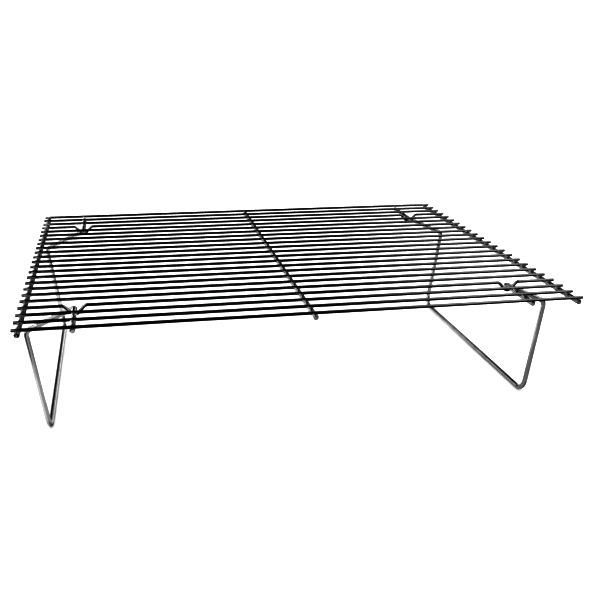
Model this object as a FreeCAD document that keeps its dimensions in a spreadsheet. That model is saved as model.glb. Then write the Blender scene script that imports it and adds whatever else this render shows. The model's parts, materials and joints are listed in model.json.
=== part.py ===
"""Wire grill grate on two folding wire legs.

Frame: +X along the rods, +Y across them, +Z up. The origin is on the ground
under the middle of the grate. Lengths in millimetres, angles in degrees.
"""
import FreeCAD, Part
import os

ROD_COUNT = 23
DIPPED_ROWS = (4, 20)          # the fourth rod in from each long edge carries the hinge dips

# name, value or formula, what it is
DIMENSIONS = (
    ("grate_length", "406.4", "rods, end to end"),
    ("grate_width", "339.2", "cross rods, end to end"),
    ("overall_height", "100.0", "ground to the top of the rods"),
    ("rod_pitch", "15.2", "spacing of the rods"),
    ("rod_diameter", "2.4", "wire of the rods"),
    ("cross_diameter", "4.0", "wire of the cross rods"),
    ("leg_diameter", "4.0", "wire of the legs"),
    ("weld_sink", "0.3", "depth the rods sink into the cross rods"),
    ("cross_inset", "3.7", "rod end to the axis of an end cross rod"),
    ("hinge_offset", "164.5", "middle of the grate to a hinge axis"),
    ("hinge_clearance", "0.05", "running clearance round a hinge pin"),
    ("dip_angle", "47", "slope of a dip's arms"),
    ("dip_shoulder_radius", "3.2", "bend where a dip leaves its rod"),
    ("pin_reach", "166.0", "middle of the grate to a pin's cut end"),
    ("leg_plane", "116.3", "middle of the grate to a leg's side wire"),
    ("crank_run", "35.4", "hinge axis outward to the crank's corner"),
    ("crank_drop", "16.1", "hinge axis down to the crank's corner"),
    ("foot_run", "24.0", "hinge axis outward to the foot bar"),
    ("pin_bend_radius", "4.0", "bend from pin to crank"),
    ("crank_bend_radius", "5.0", "bend from crank to side wire"),
    ("foot_bend_radius", "10.0", "bend from side wire to foot bar"),
    ("rod_radius", "=rod_diameter / 2", ""),
    ("cross_radius", "=cross_diameter / 2", ""),
    ("leg_radius", "=leg_diameter / 2", ""),
    ("rod_level", "=overall_height - rod_radius", "axis height of the rods"),
    ("cross_level", "=rod_level - rod_radius - cross_radius + weld_sink", "axis height of the cross rods"),
    ("cross_offset", "=grate_length / 2 - cross_inset", "middle to an end cross rod"),
    ("dip_radius", "=rod_radius + leg_radius + hinge_clearance", "bend at the bottom of a dip"),
    ("hinge_level", "=rod_level - dip_radius", "height of the hinge axes"),
    ("dip_corner", "=dip_radius / tan(dip_angle / 2 * 1 deg)", "hinge axis to a dip's shoulder corner"),
    ("shoulder_tangent", "=dip_shoulder_radius * tan(dip_angle / 2 * 1 deg)", ""),
    ("crank_angle", "=atan(crank_drop / crank_run) / 1 deg", "slope of the crank"),
    ("crank_length", "=sqrt(crank_run ^ 2 + crank_drop ^ 2)", "pin axis to corner"),
    ("corner_level", "=hinge_level - crank_drop", "height of the crank's corner"),
    ("side_run", "=crank_run - foot_run", "how far a side wire leans in on its way down"),
    ("side_drop", "=corner_level - leg_radius", ""),
    ("side_lean", "=atan(side_run / side_drop) / 1 deg", "lean of the side wires"),
    ("side_length", "=sqrt(side_run ^ 2 + side_drop ^ 2)", "corner to foot corner"),
    ("corner_turn", "=90 + side_lean - crank_angle", "turn from crank to side wire"),
    ("corner_tangent", "=crank_bend_radius * tan(corner_turn / 2 * 1 deg)", ""),
)

doc = FreeCAD.newDocument("grill_grate")
dims = doc.addObject("Spreadsheet::Sheet", "dims")
for line, (alias, value, note) in enumerate(DIMENSIONS, start=1):
    dims.set(f"A{line}", alias)
    dims.set(f"B{line}", value)
    dims.set(f"C{line}", note)
    dims.setAlias(f"B{line}", alias)
doc.recompute()


def sized(text):
    """An expression in sheet names, with every name pointed at the sheet."""
    for alias in sorted((row[0] for row in DIMENSIONS), key=len, reverse=True):
        text = text.replace(f"<{alias}>", f"dims.{alias}")
    return text


def place(obj, base, turn="rotation(vector(0; 0; 1); 0)"):
    """Bind an object's placement: base is three expressions, turn is a rotation."""
    position = "vector(" + "; ".join(base) + ")"
    obj.setExpression("Placement", sized(f"placement({position}; {turn})"))


def about_y(angle):
    """Rotation about +Y. It carries a cylinder's +Z axis towards +X."""
    return f"rotation(vector(0; 1; 0); {angle})"


def upright_arc(start):
    """Stand a torus in the XZ plane, its arc starting at this angle from +X towards +Z."""
    return f"rotation(vector(1; 0; 0); 90) * rotation(vector(0; 0; 1); {start})"


def straight(name, radius, length, base, turn):
    """A straight length of round wire, starting at base."""
    wire = doc.addObject("Part::Cylinder", name)
    wire.setExpression("Radius", sized(radius))
    wire.setExpression("Height", sized(length))
    place(wire, base, turn)
    return wire


def bend(name, radius, bend_radius, sweep, centre, turn):
    """A bent length of round wire, centred on centre."""
    wire = doc.addObject("Part::Torus", name)
    wire.setExpression("Radius1", sized(bend_radius))
    wire.setExpression("Radius2", sized(radius))
    wire.setExpression("Angle3", sized(sweep))
    place(wire, centre, turn)
    return wire


def joined(name, pieces):
    """Pieces of one wire, fused end to end."""
    whole = doc.addObject("Part::MultiFuse", name)
    whole.Shapes = pieces
    return whole


def mirrored(name, source, normal):
    """The mirror image of source in the plane through the origin with this normal."""
    image = doc.addObject("Part::Mirroring", name)
    image.Source = source
    image.Base = FreeCAD.Vector(0, 0, 0)
    image.Normal = FreeCAD.Vector(*normal)
    return image


ALONG_X = about_y("90")
ALONG_Y = "rotation(vector(1; 0; 0); -90)"
parts = []

# --- straight rods -----------------------------------------------------------------
rods = {}
for row in range(1, ROD_COUNT + 1):
    if row in DIPPED_ROWS:
        continue
    rods[row] = straight(f"rod_{row:02d}", "<rod_radius>", "<grate_length>",
                         ("-<grate_length> / 2", f"{row - (ROD_COUNT + 1) // 2} * <rod_pitch>",
                          "<rod_level>"), ALONG_X)

# --- dipped rods: a V that cradles a hinge pin, near each end ----------------------
shoulder = "(<dip_corner> + <shoulder_tangent>)"
trough_x = "<dip_radius> * sin(<dip_angle> * 1 deg)"
trough_z = "<hinge_level> - <dip_radius> * cos(<dip_angle> * 1 deg)"
arm_length = "<dip_corner> - <shoulder_tangent>"
for row in DIPPED_ROWS:
    name = f"rod_{row:02d}"
    half = joined(name + "_half", [
        straight(name + "_middle", "<rod_radius>", f"<hinge_offset> - {shoulder}",
                 ("0", "0", "<rod_level>"), ALONG_X),
        bend(name + "_inner_shoulder", "<rod_radius>", "<dip_shoulder_radius>", "<dip_angle>",
             (f"<hinge_offset> - {shoulder}", "0", "<rod_level> - <dip_shoulder_radius>"),
             upright_arc("90 - <dip_angle>")),
        straight(name + "_inner_arm", "<rod_radius>", arm_length,
                 (f"<hinge_offset> - {trough_x}", "0", trough_z), about_y("<dip_angle> - 90")),
        bend(name + "_trough", "<rod_radius>", "<dip_radius>", "2 * <dip_angle>",
             ("<hinge_offset>", "0", "<hinge_level>"), upright_arc("270 - <dip_angle>")),
        straight(name + "_outer_arm", "<rod_radius>", arm_length,
                 (f"<hinge_offset> + {trough_x}", "0", trough_z), about_y("90 - <dip_angle>")),
        bend(name + "_outer_shoulder", "<rod_radius>", "<dip_shoulder_radius>", "<dip_angle>",
             (f"<hinge_offset> + {shoulder}", "0", "<rod_level> - <dip_shoulder_radius>"),
             upright_arc("90")),
        straight(name + "_end", "<rod_radius>", f"<grate_length> / 2 - <hinge_offset> - {shoulder}",
                 (f"<hinge_offset> + {shoulder}", "0", "<rod_level>"), ALONG_X),
    ])
    rods[row] = joined(name, [half, mirrored(name + "_other_half", half, (1, 0, 0))])
    rods[row].setExpression("Placement.Base.y",
                            sized(f"{row - (ROD_COUNT + 1) // 2} * <rod_pitch>"))
parts += [rods[row] for row in sorted(rods)]

# --- cross rods, with a weld seat under every rod ----------------------------------
all_rods = doc.addObject("Part::Compound", "all_rods")
all_rods.Links = parts[:]
for label, offset in (("left", "-<cross_offset>"), ("middle", "0"), ("right", "<cross_offset>")):
    bar = straight(f"cross_rod_{label}_bar", "<cross_radius>", "<grate_width>",
                   (offset, "-<grate_width> / 2", "<cross_level>"), ALONG_Y)
    seated = doc.addObject("Part::Cut", f"cross_rod_{label}")
    seated.Base = bar
    seated.Tool = all_rods
    parts.append(seated)

# --- legs: pin, crank, side wire and half the foot bar, then their mirror images ---
crank_x = "cos(<crank_angle> * 1 deg)"
crank_z = "sin(<crank_angle> * 1 deg)"
lean_x = "sin(<side_lean> * 1 deg)"
lean_z = "cos(<side_lean> * 1 deg)"
corner_x = "(<hinge_offset> + <crank_run>)"
foot_x = "(<hinge_offset> + <foot_run>)"
corner_in = "(<crank_length> - <corner_tangent>)"      # pin axis to the start of the corner's bend
half_leg = joined("leg_half", [
    straight("leg_pin", "<leg_radius>", "<pin_reach> - <leg_plane> - <pin_bend_radius>",
             ("<hinge_offset>", "<leg_plane> + <pin_bend_radius>", "<hinge_level>"), ALONG_Y),
    bend("leg_pin_bend", "<leg_radius>", "<pin_bend_radius>", "90",
         (f"<hinge_offset> + <pin_bend_radius> * {crank_x}", "<leg_plane> + <pin_bend_radius>",
          f"<hinge_level> - <pin_bend_radius> * {crank_z}"),
         about_y("<crank_angle>") + " * rotation(vector(0; 0; 1); 180)"),
    straight("leg_crank", "<leg_radius>", f"{corner_in} - <pin_bend_radius>",
             (f"<hinge_offset> + <pin_bend_radius> * {crank_x}", "<leg_plane>",
              f"<hinge_level> - <pin_bend_radius> * {crank_z}"), about_y("90 + <crank_angle>")),
    bend("leg_corner", "<leg_radius>", "<crank_bend_radius>", "<corner_turn>",
         (f"<hinge_offset> + {corner_in} * {crank_x} - <crank_bend_radius> * {crank_z}", "<leg_plane>",
          f"<hinge_level> - {corner_in} * {crank_z} - <crank_bend_radius> * {crank_x}"),
         upright_arc("-<side_lean>")),
    straight("leg_side", "<leg_radius>", "<side_length> - <corner_tangent> - <foot_bend_radius>",
             (f"{corner_x} - <corner_tangent> * {lean_x}", "<leg_plane>",
              f"<corner_level> - <corner_tangent> * {lean_z}"), about_y("180 + <side_lean>")),
    bend("leg_foot_bend", "<leg_radius>", "<foot_bend_radius>", "90",
         (f"{foot_x} + <foot_bend_radius> * {lean_x}", "<leg_plane> - <foot_bend_radius>",
          f"<leg_radius> + <foot_bend_radius> * {lean_z}"), about_y("90 + <side_lean>")),
    straight("leg_foot_bar", "<leg_radius>", "<leg_plane> - <foot_bend_radius>",
             (foot_x, "0", "<leg_radius>"), ALONG_Y),
])
right_leg = joined("leg_right", [half_leg, mirrored("leg_other_half", half_leg, (0, 1, 0))])
parts += [right_leg, mirrored("leg_left", right_leg, (1, 0, 0))]

# --- check and export --------------------------------------------------------------
doc.recompute()
for obj in doc.Objects:
    if {"Invalid", "Error"} & set(obj.State):
        raise RuntimeError(f"{obj.Name} did not compute: {obj.State}")
os.makedirs("parts", exist_ok=True)
for part in parts:
    part.Label = part.Name
    shape = part.Shape
    if shape.isNull() or not shape.isValid() or len(shape.Solids) != 1:
        raise RuntimeError(f"{part.Label} is not one valid solid")
    shape.exportStep(f"parts/{part.Label}.step")
    print(f"{part.Label:18s} {shape.Volume:9.1f} mm3")
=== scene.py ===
"""Looks for the wire grill grate: plated wire rods, weld beads and two bent wire legs."""

import json
import math
import random

import bmesh
import bpy
from mathutils import Matrix, Vector, noise


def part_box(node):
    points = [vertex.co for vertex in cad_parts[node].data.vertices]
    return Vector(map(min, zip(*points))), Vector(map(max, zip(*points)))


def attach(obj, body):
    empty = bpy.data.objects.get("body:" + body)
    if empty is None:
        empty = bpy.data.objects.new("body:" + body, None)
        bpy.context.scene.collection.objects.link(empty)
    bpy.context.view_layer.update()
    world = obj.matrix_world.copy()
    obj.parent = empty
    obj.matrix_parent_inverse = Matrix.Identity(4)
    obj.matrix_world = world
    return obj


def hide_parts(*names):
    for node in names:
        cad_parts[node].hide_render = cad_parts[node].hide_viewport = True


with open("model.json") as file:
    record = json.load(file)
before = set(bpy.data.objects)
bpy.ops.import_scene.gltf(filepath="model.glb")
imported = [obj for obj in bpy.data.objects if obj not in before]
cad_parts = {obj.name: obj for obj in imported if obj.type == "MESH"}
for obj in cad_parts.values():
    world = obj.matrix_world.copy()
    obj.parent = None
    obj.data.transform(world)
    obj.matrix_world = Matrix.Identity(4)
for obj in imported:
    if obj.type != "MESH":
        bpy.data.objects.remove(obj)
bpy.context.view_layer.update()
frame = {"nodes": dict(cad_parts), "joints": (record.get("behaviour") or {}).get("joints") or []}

MM = 0.001
RANDOM_SEED = 11
random.seed(RANDOM_SEED)
noise.seed_set(RANDOM_SEED)

# --- sizes read from the frame -----------------------------------------------------
ROD_NAMES = sorted(name for name in frame["nodes"] if name.startswith("rod_"))
CROSS_NAMES = ("cross_rod_left", "cross_rod_middle", "cross_rod_right")
DIPPED = ("rod_04", "rod_20")
LEG_NAMES = {"left_leg": "leg_left", "right_leg": "leg_right"}


def middle(name):
    """The centre of a node's box."""
    low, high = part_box(name)
    return (low + high) / 2


rod_low, rod_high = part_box("rod_01")
ROD_RADIUS = (rod_high.z - rod_low.z) / 2
ROD_LEVEL = middle("rod_01").z
HALF_LENGTH = rod_high.x
cross_low, cross_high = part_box("cross_rod_middle")
CROSS_RADIUS = (cross_high.x - cross_low.x) / 2
CROSS_LEVEL = cross_low.z + CROSS_RADIUS
HALF_WIDTH = cross_high.y
LEG_RADIUS = CROSS_RADIUS
PIN_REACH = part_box("leg_right")[1].y
HINGE = {joint["child"]: Vector(joint["pos_m"]) for joint in frame["joints"]}

# --- bends of the wires, as the part has them --------------------------------------
DIP_ANGLE = math.radians(47)
DIP_SHOULDER = 3.2 * MM
DIP_TROUGH = ROD_LEVEL - HINGE["right_leg"].z
LEG_PLANE = 116.3 * MM
CRANK = Vector((35.4, 0, -16.1)) * MM
FOOT_RUN = 24.0 * MM
PIN_BEND = 4.0 * MM
CRANK_BEND = 5.0 * MM
FOOT_BEND = 10.0 * MM

# --- how finely the wires are divided ----------------------------------------------
STRAIGHT_STEP = 9.0 * MM
LEG_STEP = 6.0 * MM
FEWEST_BEND_PIECES = 3
DEGREES_PER_BEND_PIECE = 7
ROD_SIDES = 20
CROSS_SIDES = 28
LEG_SIDES = 32

# --- how far a real wire is from a perfect one -------------------------------------
WANDER = 0.12 * MM
WANDER_PER_METRE = 14.0
WANDER_APART = (3.1, 1.7)
# Rings that close a cut end: (distance back from the cut, share of the radius), both in radii.
END_RINGS = ((0.0, 0.80), (0.05, 0.90), (0.16, 0.965), (0.34, 1.0))
SLANTED_RINGS = 3
MOST_SLANT = 0.16
END_CROWN = 0.03

# --- weld beads --------------------------------------------------------------------
BEAD_ALONG_ROD = (1.65, 1.95)
BEAD_ALONG_CROSS_ROD = (1.75, 2.15)
BEAD_HEIGHT = (0.62, 0.80)
BEAD_SKEW = 0.12
BEAD_RISE = 0.12 * MM
BEAD_SUBDIVISIONS = 3
LUMP_DEPTH = 0.13
LUMP_SCALE = 1.6
LUMP_APART = (2.3, 90)


# --- wires -------------------------------------------------------------------------
def bent(corners, radii, step):
    """Points along straight runs joined by round bends, about step apart on the runs."""
    points = [corners[0].copy()]
    for index in range(1, len(corners)):
        here = corners[index]
        back = (corners[index - 1] - here).normalized()
        last = index == len(corners) - 1
        if last:
            run_end = here
        else:
            ahead = (corners[index + 1] - here).normalized()
            turn = math.pi - back.angle(ahead)
            tangent = radii[index - 1] * math.tan(turn / 2)
            run_end = here + back * tangent
        run = run_end - points[-1]
        count = max(1, round(run.length / step))
        start = points[-1].copy()
        points += [start + run * (k / count) for k in range(1, count + 1)]
        if last:
            break
        centre = here + (back + ahead).normalized() * (radii[index - 1] / math.cos(turn / 2))
        arm = run_end - centre
        axis = arm.cross(-back).normalized()
        pieces = max(FEWEST_BEND_PIECES, math.ceil(math.degrees(turn) / DEGREES_PER_BEND_PIECE))
        for k in range(1, pieces + 1):
            points.append(centre + Matrix.Rotation(turn * k / pieces, 3, axis) @ arm)
    return points


def wander(points, number):
    """A hand-fed wire is never quite straight: shift each point a little, smoothly, never upwards.

    A cut end keeps its neighbour's shift. The number gives each rod a drift of its own.
    """
    moved = []
    for p in points:
        key = p * WANDER_PER_METRE + Vector((number * WANDER_APART[0], number * WANDER_APART[1], 0))
        drift = noise.noise_vector(key) * WANDER
        drift.x = 0
        drift.z = -abs(drift.z)
        moved.append(p + drift)
    for end, inner in ((0, 1), (-1, -2)):
        moved[end].y, moved[end].z = moved[inner].y, moved[inner].z
    return moved


def moved_ring(ring, distance, share):
    """A copy of a ring, moved along its wire and given another share of the radius."""
    centre, tangent, side, along, _ = ring
    return (centre + tangent * distance, tangent, side, along + distance, share)


def rings_along(points, radius):
    """Rings from cut to cut: (centre, tangent, side, distance along, share of the radius)."""
    final = len(points) - 1
    tangents = []
    for k in range(len(points)):
        before, after = points[max(k - 1, 0)], points[min(k + 1, final)]
        tangents.append((after - before).normalized())
    side = tangents[0].orthogonal().normalized()
    along = 0.0
    rings = []
    for k, point in enumerate(points):
        if k:
            side = (tangents[k - 1].rotation_difference(tangents[k]) @ side).normalized()
            along += (point - points[k - 1]).length
        rings.append((point, tangents[k], side.copy(), along, 1.0))
    start = [moved_ring(rings[0], back * radius, share) for back, share in END_RINGS]
    end = [moved_ring(rings[-1], -back * radius, share) for back, share in END_RINGS]
    return start + rings[1:-1] + end[::-1]


def swept(rings, radius, sides):
    """Corners, faces and wire coordinates in mm of a round section with slanted, crowned ends."""
    slant = [random.uniform(-MOST_SLANT, MOST_SLANT) for _ in range(2)]
    lean = [random.uniform(0, 2 * math.pi) for _ in range(2)]
    verts, coords, faces = [], [], []
    for k, (centre, tangent, side, along, share) in enumerate(rings):
        other = tangent.cross(side)
        for n in range(sides):
            angle = 2 * math.pi * n / sides
            out = side * math.cos(angle) + other * math.sin(angle)
            shift = 0.0
            if k < SLANTED_RINGS:
                shift = radius * share * abs(slant[0]) * (1 + math.cos(angle - lean[0])) / 2
            elif k >= len(rings) - SLANTED_RINGS:
                shift = -radius * share * abs(slant[1]) * (1 + math.cos(angle - lean[1])) / 2
            verts.append(centre + out * radius * share + tangent * shift)
            coords.append((math.cos(angle) * radius / MM, math.sin(angle) * radius / MM, along / MM))
    for k in range(len(rings) - 1):
        for n in range(sides):
            m = (n + 1) % sides
            faces.append((k * sides + n, k * sides + m, (k + 1) * sides + m, (k + 1) * sides + n))
    for index, inward in ((0, 1), (len(rings) - 1, -1)):
        _, tangent, _, along, _ = rings[index]
        base = index * sides
        hub = len(verts)
        rim = sum((verts[base + n] for n in range(sides)), Vector()) / sides
        verts.append(rim + tangent * inward * radius * END_CROWN)
        coords.append((0, 0, along / MM))
        for n in range(sides):
            m = (n + 1) % sides
            faces.append((base + m, base + n, hub) if inward > 0 else (base + n, base + m, hub))
    return verts, coords, faces


def add_object(name, mesh, material, coords):
    """Put a finished mesh in the scene. The material reads coords, in mm, as wire_mm."""
    attribute = mesh.attributes.new("wire_mm", "FLOAT_VECTOR", "POINT")
    attribute.data.foreach_set("vector", [c for triple in coords for c in triple])
    mesh.shade_smooth()
    mesh.materials.append(material)
    piece = bpy.data.objects.new(name, mesh)
    bpy.context.scene.collection.objects.link(piece)
    return piece


def wire(cad_name, points, radius, sides, body, material):
    """A wire drawn again along points, in place of the CAD node it is named after."""
    name = f"{cad_name}_wire"
    verts, coords, faces = swept(rings_along(points, radius), radius, sides)
    mesh = bpy.data.meshes.new(name)
    mesh.from_pydata([tuple(v) for v in verts], [], faces)
    mesh.update()
    piece = add_object(name, mesh, material, coords)
    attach(piece, body)
    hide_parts(cad_name)


# --- materials ---------------------------------------------------------------------
STREAK_SQUEEZE = (1.0, 1.0, 0.035)
STREAK_RELIEF = 0.04 * MM
PIT_RELIEF = 0.03 * MM
PIT_STRENGTH = 0.25
# Ramps: (value from, value to, result at from, result at to).
CLOUD_TINT = (0.30, 0.62, 0.45, 1.0)
STREAK_TINT = (0.30, 0.55, 0.70, 1.0)
CLOUD_RANGE = (0.35, 0.70)
PIT_ROUGHNESS = (0.0, 0.22, 0.16, 0.0)


def node(tree, kind, **inputs):
    """A shader node with numbers on its sockets."""
    made = tree.nodes.new(kind)
    for key, value in inputs.items():
        made.inputs[key].default_value = value
    return made


def ramp(tree, source, low, high, to_low, to_high):
    """A straight, clamped change from to_low at low to to_high at high."""
    spread = node(tree, "ShaderNodeMapRange")
    spread.inputs["From Min"].default_value = low
    spread.inputs["From Max"].default_value = high
    spread.inputs["To Min"].default_value = to_low
    spread.inputs["To Max"].default_value = to_high
    tree.links.new(source, spread.inputs["Value"])
    return spread.outputs["Result"]


def calculate(tree, how, first, second):
    """One math node on a socket and a second socket or number."""
    step = node(tree, "ShaderNodeMath")
    step.operation = how
    tree.links.new(first, step.inputs[0])
    if isinstance(second, float):
        step.inputs[1].default_value = second
    else:
        tree.links.new(second, step.inputs[1])
    return step.outputs["Value"]


def combine(tree, how, values):
    """Fold several sockets into one with a math operation."""
    result, *others = values
    for value in others:
        result = calculate(tree, how, result, value)
    return result


def mix_shaders(tree, factor, first, second):
    """The second shader where factor is 1, the first where it is 0."""
    mix = node(tree, "ShaderNodeMixShader")
    tree.links.new(factor, mix.inputs["Fac"])
    tree.links.new(first, mix.inputs[1])
    tree.links.new(second, mix.inputs[2])
    return mix.outputs["Shader"]


def plated_wire(name, bright, dark, smooth, rough, streak_depth):
    """Bright plated steel wire: drawing streaks along it, cloudy plating and fine pits."""
    material = bpy.data.materials.new(name)
    material.use_nodes = True
    tree = material.node_tree
    shader = tree.nodes["Principled BSDF"]
    shader.inputs["Metallic"].default_value = 1.0
    along = node(tree, "ShaderNodeAttribute")
    along.attribute_name = "wire_mm"
    stretch = node(tree, "ShaderNodeMapping", Scale=STREAK_SQUEEZE)
    tree.links.new(along.outputs["Vector"], stretch.inputs["Vector"])
    streaks = node(tree, "ShaderNodeTexNoise", Scale=4.5, Detail=5.0, Roughness=0.62)
    tree.links.new(stretch.outputs["Vector"], streaks.inputs["Vector"])
    where = node(tree, "ShaderNodeTexCoord")
    clouds = node(tree, "ShaderNodeTexNoise", Scale=85.0, Detail=4.0, Roughness=0.55)
    tree.links.new(where.outputs["Object"], clouds.inputs["Vector"])
    pits = node(tree, "ShaderNodeTexVoronoi", Scale=1400.0)
    tree.links.new(where.outputs["Object"], pits.inputs["Vector"])
    tint = node(tree, "ShaderNodeMix")
    tint.data_type = "RGBA"
    tint.inputs["A"].default_value = (*dark, 1)
    tint.inputs["B"].default_value = (*bright, 1)
    shade = calculate(tree, "MULTIPLY", ramp(tree, clouds.outputs["Fac"], *CLOUD_TINT),
                      ramp(tree, streaks.outputs["Fac"], *STREAK_TINT))
    tree.links.new(shade, tint.inputs["Factor"])
    tree.links.new(tint.outputs["Result"], shader.inputs["Base Color"])
    roughness = calculate(tree, "ADD", ramp(tree, clouds.outputs["Fac"], *CLOUD_RANGE, rough, smooth),
                          ramp(tree, pits.outputs["Distance"], *PIT_ROUGHNESS))
    tree.links.new(roughness, shader.inputs["Roughness"])
    bump = node(tree, "ShaderNodeBump", Strength=streak_depth, Distance=STREAK_RELIEF)
    tree.links.new(streaks.outputs["Fac"], bump.inputs["Height"])
    fine = node(tree, "ShaderNodeBump", Strength=PIT_STRENGTH, Distance=PIT_RELIEF)
    tree.links.new(pits.outputs["Distance"], fine.inputs["Height"])
    tree.links.new(bump.outputs["Normal"], fine.inputs["Normal"])
    tree.links.new(fine.outputs["Normal"], shader.inputs["Normal"])
    return material


# All four are one plating. The rods and cross rods get darker bases than the legs: painted shade that keeps
# them dark. The weld beads' darker colour is their own.
rod_metal = plated_wire("plated_rod", bright=(0.60, 0.60, 0.61), dark=(0.36, 0.36, 0.37),
                        smooth=0.07, rough=0.16, streak_depth=0.35)
cross_metal = plated_wire("plated_cross_rod", bright=(0.70, 0.70, 0.71), dark=(0.42, 0.42, 0.43),
                          smooth=0.08, rough=0.18, streak_depth=0.4)
leg_metal = plated_wire("plated_leg", bright=(0.80, 0.80, 0.805), dark=(0.62, 0.62, 0.63),
                        smooth=0.05, rough=0.12, streak_depth=0.3)
weld_metal = plated_wire("plated_weld", bright=(0.50, 0.49, 0.48), dark=(0.24, 0.23, 0.22),
                         smooth=0.20, rough=0.32, streak_depth=0.5)


# --- the object --------------------------------------------------------------------
def make_rods():
    """The long rods, of which two dip near each end to hold the legs' pins."""
    dip_corner = DIP_TROUGH / math.tan(DIP_ANGLE / 2)
    dip_bottom = HINGE["right_leg"].z - DIP_TROUGH / math.cos(DIP_ANGLE)
    for number, name in enumerate(ROD_NAMES):
        y = middle(name).y
        corners = [Vector((-HALF_LENGTH, y, ROD_LEVEL))]
        radii = []
        if name in DIPPED:
            for hinge_x in (HINGE["left_leg"].x, HINGE["right_leg"].x):
                corners += [Vector((hinge_x - dip_corner, y, ROD_LEVEL)),
                            Vector((hinge_x, y, dip_bottom)),
                            Vector((hinge_x + dip_corner, y, ROD_LEVEL))]
                radii += [DIP_SHOULDER, DIP_TROUGH, DIP_SHOULDER]
        corners.append(Vector((HALF_LENGTH, y, ROD_LEVEL)))
        points = bent(corners, radii, STRAIGHT_STEP)
        if name not in DIPPED:
            points = wander(points, number)
        wire(name, points, ROD_RADIUS, ROD_SIDES, "grate", rod_metal)


def make_cross_rods():
    """The straight cross rods under the long rods."""
    for name in CROSS_NAMES:
        x = middle(name).x
        ends = [Vector((x, -HALF_WIDTH, CROSS_LEVEL)), Vector((x, HALF_WIDTH, CROSS_LEVEL))]
        wire(name, bent(ends, [], STRAIGHT_STEP), CROSS_RADIUS, CROSS_SIDES, "grate",
             cross_metal)


def make_beads(name, x):
    """Squeezed-out metal at every crossing along one cross rod."""
    shape = bmesh.new()
    for number, rod in enumerate(ROD_NAMES):
        y = middle(rod).y
        made = bmesh.ops.create_icosphere(shape, subdivisions=BEAD_SUBDIVISIONS, radius=1.0)["verts"]
        sides = (BEAD_ALONG_ROD, BEAD_ALONG_CROSS_ROD, BEAD_HEIGHT)
        size = Vector([random.uniform(*side) for side in sides]) * MM
        skew = random.uniform(-BEAD_SKEW, BEAD_SKEW) * MM
        apart = Vector((number * LUMP_APART[0], x * LUMP_APART[1], 0))
        for v in made:
            lump = 1 + LUMP_DEPTH * noise.noise(v.co * LUMP_SCALE + apart)
            v.co = Vector((v.co.x * size.x, v.co.y * size.y, v.co.z * size.z)) * lump
            v.co += Vector((x, y + skew, ROD_LEVEL - ROD_RADIUS + BEAD_RISE))
    mesh = bpy.data.meshes.new(name)
    shape.to_mesh(mesh)
    shape.free()
    coords = [[c / MM for c in v.co] for v in mesh.vertices]
    piece = add_object(name, mesh, weld_metal, coords)
    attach(piece, "grate")


def make_legs():
    """Each leg is one wire: pin, crank, side wire, foot bar and the same back again."""
    for body, hand in (("left_leg", -1), ("right_leg", 1)):
        hinge = HINGE[body]
        foot_x = hinge.x + hand * FOOT_RUN
        crank = Vector((hand * CRANK.x, 0, CRANK.z))
        pin_end = Vector((hinge.x, PIN_REACH, hinge.z))
        pin_corner = Vector((hinge.x, LEG_PLANE, hinge.z))
        half = [pin_end, pin_corner, pin_corner + crank, Vector((foot_x, LEG_PLANE, LEG_RADIUS))]
        other = [Vector((p.x, -p.y, p.z)) for p in reversed(half)]
        radii = [PIN_BEND, CRANK_BEND, FOOT_BEND, FOOT_BEND, CRANK_BEND, PIN_BEND]
        wire(LEG_NAMES[body], bent(half + other, radii, LEG_STEP), LEG_RADIUS, LEG_SIDES, body,
             leg_metal)


make_rods()
make_cross_rods()
for cross_name in CROSS_NAMES:
    make_beads(cross_name.replace("cross_rod", "welds"), middle(cross_name).x)
make_legs()

# --- stage -------------------------------------------------------------------------
FLOOR_SEAMS = (-0.207, 0.10)
FLOOR_REACH = 30.0
UNDER_DROP = 0.5 * MM
PAPER_COLOUR = (0.92, 0.92, 0.92, 1)
ROOM_WHITE = 1.9
ROOM_DARK = 0.018
ONE_BOUNCE = 1.5

# The wires are mirror bright, so their looks are what they mirror. Each patch of mirrored light
# is a product of ramps: (source, from, to, value at from, value at to). The floor's patches are
# painted reflections and painted glints, with painted contact shadows and a painted dark corner,
# that only mirror rays see. In the floor's patches x and y are places in metres and away is the
# ray's length since the wire, in metres.
# Painted reflection in the left and middle sheets: the pale glow that only mirror rays see.
LEFT_PAINTED_REFLECTION = {
    "outside": (("x", -0.192, -0.20, 0.0, 1.0),),
    "beside the foot bar": (("away", 0.12, 0.04, 0.0, 0.95), ("x", -0.190, -0.186, 1.0, 0.6)),
    "at least": (("x", -0.02, 0.02, 0.62, 0.45),),
    "behind the front": (("y", -0.09, -0.05, 0.0, 1.0), ("x", -0.12, -0.08, 1.25, 0.95),
                         ("x", -0.01, 0.03, 1.0, 0.15), ("away", 0.05, 0.10, 0.55, 1.0)),
}
# Painted dark patch in the left glow: the near left corner, far from the wire, mirrors dark.
LEFT_PAINTED_DARK_CORNER = (("x", -0.225, -0.245, 0.0, 0.95), ("y", -0.165, -0.185, 0.0, 1.0),
                    ("away", 0.11, 0.14, 0.0, 1.0))
# Painted contact shadow in the left glow: dark close to the wire and dimmer at the foot bar.
LEFT_PAINTED_CONTACT_SHADOW = {
    "clear of the foot bar": (("away", 0.006, 0.012, 0.0, 1.0),),
    "at the foot bar": (("x", -0.1900, -0.1882, 0.85, 0.42),),
}
LEFT_FADE = ("away", 3.0, 1.2, 0.0, 1.0)
# Painted reflection in the right sheet: a dimmer glow, lighter towards the back.
RIGHT_PAINTED_REFLECTION = (("x", 0.10, 0.20, 0.30, 0.40), ("y", -0.03, 0.06, 1.0, 1.8))
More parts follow.
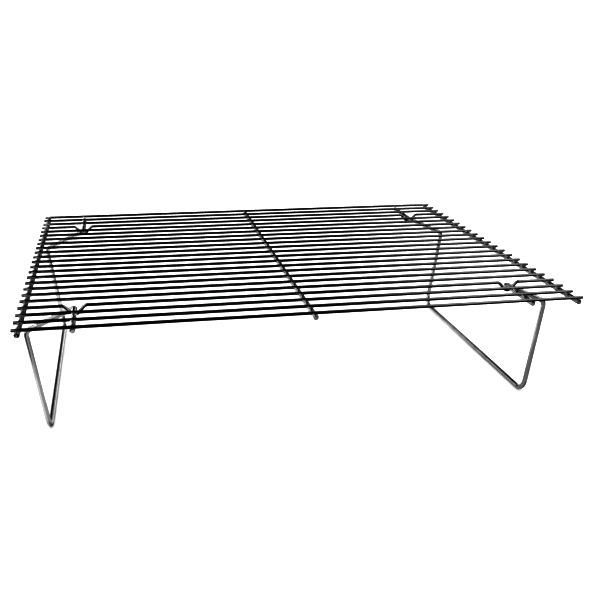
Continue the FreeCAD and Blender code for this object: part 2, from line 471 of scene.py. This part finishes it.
# Painted contact shadow in the right glow: dark close to the wire and dimmer at the foot bar.
RIGHT_PAINTED_CONTACT_SHADOW = {
    "clear of the foot bar": (("away", 0.012, 0.020, 0.0, 1.0),),
    "at the foot bar": (("x", 0.1880, 0.1895, 1.3, 0.5),),
}
RIGHT_FADE = ("away", 1.5, 0.3, 0.0, 1.0)
# Painted glints: the under sheet's glow, brightest past the left edge and left of the middle cross rod.
UNDER_PAINTED_GLINTS = {
    "bright past the left edge, dim inside": (("x", -0.200, -0.206, 0.35, 3.2),
                                              ("x", 0.03, 0.08, 1.0, 0.0)),
    "left of the middle cross rod": (("x", -0.12, -0.08, 0.0, 2.1), ("x", 0.0, 0.006, 1.0, 0.0)),
}
# In the room's patches x, y and z are the direction's, as a unit vector.
ROOM_PATCHES = {
    "over the right": (("x", 0.26, 0.38, 0.0, 1.10), ("z", 0.15, 0.45, 0.10, 1.0),
                       ("y", 0.65, 0.45, 0.0, 1.0)),
    "back right": (("x", 0.20, 0.30, 0.0, 1.6), ("z", 0.25, 0.12, 0.0, 1.0), ("y", 0.6, 0.8, 0.0, 1.0)),
    "left": (("x", -0.22, -0.34, 0.0, 1.2), ("y", 0.8, 0.6, 0.0, 1.0)),
    "back left": (("x", -0.02, -0.12, 0.0, 0.9), ("y", 0.885, 0.87, 0.0, 1.0),
                  ("y", 0.78, 0.82, 0.0, 1.0), ("z", 0.55, 0.45, 0.0, 1.0)),
    "over the back": (("x", 0.0, 0.10, 0.0, 0.75), ("y", 0.84, 0.87, 0.0, 1.0),
                      ("z", 0.0, 0.1, 0.0, 1.0), ("x", 0.40, 0.30, 0.0, 1.0)),
}


def product(tree, sources, ramps):
    """The ramps of one patch multiplied together."""
    return combine(tree, "MULTIPLY", [ramp(tree, sources[key], *limits) for key, *limits in ramps])


def blended(tree, how, sources, patches):
    """Several patches joined with one math operation."""
    return combine(tree, how, [product(tree, sources, ramps) for ramps in patches.values()])


def left_glow(tree, sources):
    """Painted reflection in the left and middle sheets: pale glow, painted dark corner, painted contact
    shadow.
    """
    # paper here is the painted reflection's glow, not the paper's own colour.
    paper = blended(tree, "MAXIMUM", sources, LEFT_PAINTED_REFLECTION)
    corner = product(tree, sources, LEFT_PAINTED_DARK_CORNER)
    not_corner = ramp(tree, corner, 0.0, 1.0, 1.0, 0.0)
    contact = blended(tree, "MAXIMUM", sources, LEFT_PAINTED_CONTACT_SHADOW)
    fade = product(tree, sources, (LEFT_FADE,))
    return combine(tree, "MULTIPLY", [paper, not_corner, contact, fade])


def right_glow(tree, sources):
    """Painted reflection in the right sheet: dimmer glow, lighter towards the back, painted contact shadow.
    """
    # paper here is the painted reflection's glow, not the paper's own colour.
    paper = product(tree, sources, RIGHT_PAINTED_REFLECTION)
    contact = blended(tree, "MAXIMUM", sources, RIGHT_PAINTED_CONTACT_SHADOW)
    fade = product(tree, sources, (RIGHT_FADE,))
    return combine(tree, "MULTIPLY", [paper, contact, fade])


def second_bounce(tree, rays):
    """1 for a ray that has left two mirror-bright wires, else 0."""
    deep = calculate(tree, "GREATER_THAN", rays.outputs["Glossy Depth"], ONE_BOUNCE)
    return calculate(tree, "MULTIPLY", deep, rays.outputs["Is Glossy Ray"])


def blank_sheet(name, x_low, x_high, level):
    """A sheet of floor whose material has no shader yet, with the nodes that all share."""
    mesh = bpy.data.meshes.new(name)
    mesh.from_pydata([(x_low, -FLOOR_REACH, level), (x_high, -FLOOR_REACH, level),
                      (x_high, FLOOR_REACH, level), (x_low, FLOOR_REACH, level)], [], [(0, 1, 2, 3)])
    # The sheet's material holds both the plain pale paper and the painted reflection.
    material = bpy.data.materials.new(f"{name}_paper")
    material.use_nodes = True
    mesh.materials.append(material)
    sheet = bpy.data.objects.new(name, mesh)
    bpy.context.scene.collection.objects.link(sheet)
    tree = material.node_tree
    tree.nodes.clear()
    rays = node(tree, "ShaderNodeLightPath")
    where = node(tree, "ShaderNodeTexCoord")
    split = node(tree, "ShaderNodeSeparateXYZ")
    tree.links.new(where.outputs["Object"], split.inputs["Vector"])
    sources = {"x": split.outputs["X"], "y": split.outputs["Y"], "away": rays.outputs["Ray Length"]}
    return sheet, tree, rays, sources


def floor_sheet(name, x_low, x_high, glow):
    """Part of a very large pale floor. The eye sees plain paper; a wire mirrors the glow, a painted
    reflection.

    A wire that is itself mirrored in a wire sees through the sheet, to the one under it.
    """
    sheet, tree, rays, sources = blank_sheet(name, x_low, x_high, 0.0)
    pale = node(tree, "ShaderNodeBsdfDiffuse", Color=PAPER_COLOUR)
    # This emission is the painted reflection; only mirror rays see it.
    mirror = node(tree, "ShaderNodeEmission")
    tree.links.new(glow(tree, sources), mirror.inputs["Strength"])
    clear = node(tree, "ShaderNodeBsdfTransparent")
    seen = mix_shaders(tree, rays.outputs["Is Glossy Ray"], pale.outputs["BSDF"], mirror.outputs["Emission"])
    seen = mix_shaders(tree, second_bounce(tree, rays), seen, clear.outputs["BSDF"])
    tree.links.new(seen, node(tree, "ShaderNodeOutputMaterial").inputs["Surface"])
    return sheet


def under_sheet():
    """A sheet under the floor whose glow, painted glints, shows only in wires mirrored in other wires."""
    _, tree, rays, sources = blank_sheet("floor_under", -FLOOR_REACH, FLOOR_REACH, -UNDER_DROP)
    light = node(tree, "ShaderNodeEmission")
    lit = blended(tree, "MAXIMUM", sources, UNDER_PAINTED_GLINTS)
    tree.links.new(calculate(tree, "MULTIPLY", lit, second_bounce(tree, rays)), light.inputs["Strength"])
    tree.links.new(light.outputs["Emission"], node(tree, "ShaderNodeOutputMaterial").inputs["Surface"])


def stage_floor():
    """Three sheets side by side, which look like one. Their glow, a painted reflection, lights the legs,
    the cross rods and the right weld beads, as listed, and never the rods, so the rods stay dark."""
    legs_and_cross = [f"{name}_wire" for name in (*LEG_NAMES.values(), *CROSS_NAMES)]
    no_left_cross = [name for name in legs_and_cross if name != "cross_rod_left_wire"]
    edges = (-FLOOR_REACH, *FLOOR_SEAMS, FLOOR_REACH)
    sheets = (("floor_left", left_glow, legs_and_cross),
              ("floor_middle", left_glow, no_left_cross),
              ("floor_right", right_glow, legs_and_cross + ["welds_right"]))
    for low, high, (name, glow, receivers) in zip(edges, edges[1:], sheets):
        lit = bpy.data.collections.new(f"lit_by_{name}")
        for receiver in receivers:
            lit.objects.link(bpy.data.objects[receiver])
        floor_sheet(name, low, high, glow).light_linking.receiver_collection = lit


def studio_world():
    """A white room for the paper, and a dark room with pale patches for what the wires mirror."""
    world = bpy.data.worlds.new("studio")
    world.use_nodes = True
    tree = world.node_tree
    tree.nodes.clear()
    white = node(tree, "ShaderNodeBackground", Color=(1, 1, 1, 1), Strength=ROOM_WHITE)
    dark = node(tree, "ShaderNodeBackground")
    where = node(tree, "ShaderNodeTexCoord")
    split = node(tree, "ShaderNodeSeparateXYZ")
    tree.links.new(where.outputs["Generated"], split.inputs["Vector"])
    sources = {axis.lower(): split.outputs[axis] for axis in "XYZ"}
    patches = blended(tree, "ADD", sources, ROOM_PATCHES)
    tree.links.new(calculate(tree, "ADD", patches, ROOM_DARK), dark.inputs["Strength"])
    rays = node(tree, "ShaderNodeLightPath")
    seen = mix_shaders(tree, rays.outputs["Is Glossy Ray"], white.outputs["Background"],
                       dark.outputs["Background"])
    tree.links.new(seen, node(tree, "ShaderNodeOutputWorld").inputs["Surface"])
    bpy.context.scene.world = world


stage_floor()
under_sheet()
studio_world()

# --- camera ------------------------------------------------------------------------
SENSOR_WIDTH = 36.0
LENS = 52.15
NEAREST_SEEN = 0.01
CAMERA_PLACE = (-0.12967, -0.72402, ROD_LEVEL + 0.19675)
CAMERA_HEADING = math.radians(-12.013)
CAMERA_TILT_DOWN = math.radians(18.160)
CAMERA_ROLL = math.radians(0.619)
DISPLAY_GAMMA = 0.45


def make_camera():
    """The camera at the picture's angle, and a plain display curve that keeps thin dark wire dark."""
    scene = bpy.context.scene
    camera_data = bpy.data.cameras.new("camera")
    camera_data.sensor_width = SENSOR_WIDTH
    camera_data.lens = LENS
    camera_data.clip_start = NEAREST_SEEN
    camera = bpy.data.objects.new("camera", camera_data)
    camera.matrix_world = (Matrix.Translation(CAMERA_PLACE)
                           @ Matrix.Rotation(CAMERA_HEADING, 4, "Z")
                           @ Matrix.Rotation(math.pi / 2 - CAMERA_TILT_DOWN, 4, "X")
                           @ Matrix.Rotation(CAMERA_ROLL, 4, "Z"))
    scene.collection.objects.link(camera)
    scene.camera = camera
    scene.view_settings.view_transform = "Standard"
    scene.view_settings.gamma = DISPLAY_GAMMA


make_camera()
